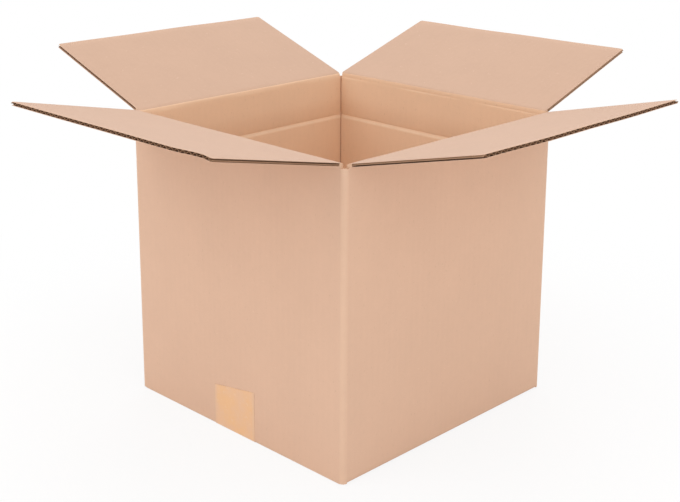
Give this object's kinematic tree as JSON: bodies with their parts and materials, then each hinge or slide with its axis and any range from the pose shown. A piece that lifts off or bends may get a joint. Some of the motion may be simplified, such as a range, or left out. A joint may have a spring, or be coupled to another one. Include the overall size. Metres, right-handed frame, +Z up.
{
  "type": "open cardboard box",
  "caption": "Open square shipping carton of fluted brown board, with four hinged top flaps and a taped foot.",
  "frame": {"origin": "middle of the foot, on the plane that the carton stands on", "axes": "+Z up; the taped wall faces -Y, and the tape runs along Y under the foot"},
  "size_m": [0.4997, 0.495, 0.3024],
  "materials": {
    "board": "matte kraft paper",
    "tape": "thin satin film"
  },
  "bodies": {
    "carton": {"carton": "board", "bottom_tape": "tape"},
    "front_flap": {"top_flap_front": "board"},
    "right_flap": {"top_flap_right": "board"},
    "rear_flap": {"top_flap_rear": "board"},
    "left_flap": {"top_flap_left": "board"}
  },
  "joints": [
    {"name": "front_flap_crease", "type": "hinge", "parent": "carton", "child": "front_flap", "pos_m": [0, -0.1265, 0.2545], "axis": [-1, 0, 0], "range_deg": [-97, 168]},
    {"name": "right_flap_crease", "type": "hinge", "parent": "carton", "child": "right_flap", "pos_m": [0.128, 0, 0.256], "axis": [0, -1, 0], "range_deg": [-98.7, 166.3]},
    {"name": "rear_flap_crease", "type": "hinge", "parent": "carton", "child": "rear_flap", "pos_m": [0, 0.1265, 0.2545], "axis": [1, 0, 0], "range_deg": [-103.2, 161.8]},
    {"name": "left_flap_crease", "type": "hinge", "parent": "carton", "child": "left_flap", "pos_m": [-0.128, 0, 0.256], "axis": [0, 1, 0], "range_deg": [-105, 160]}
  ]
}
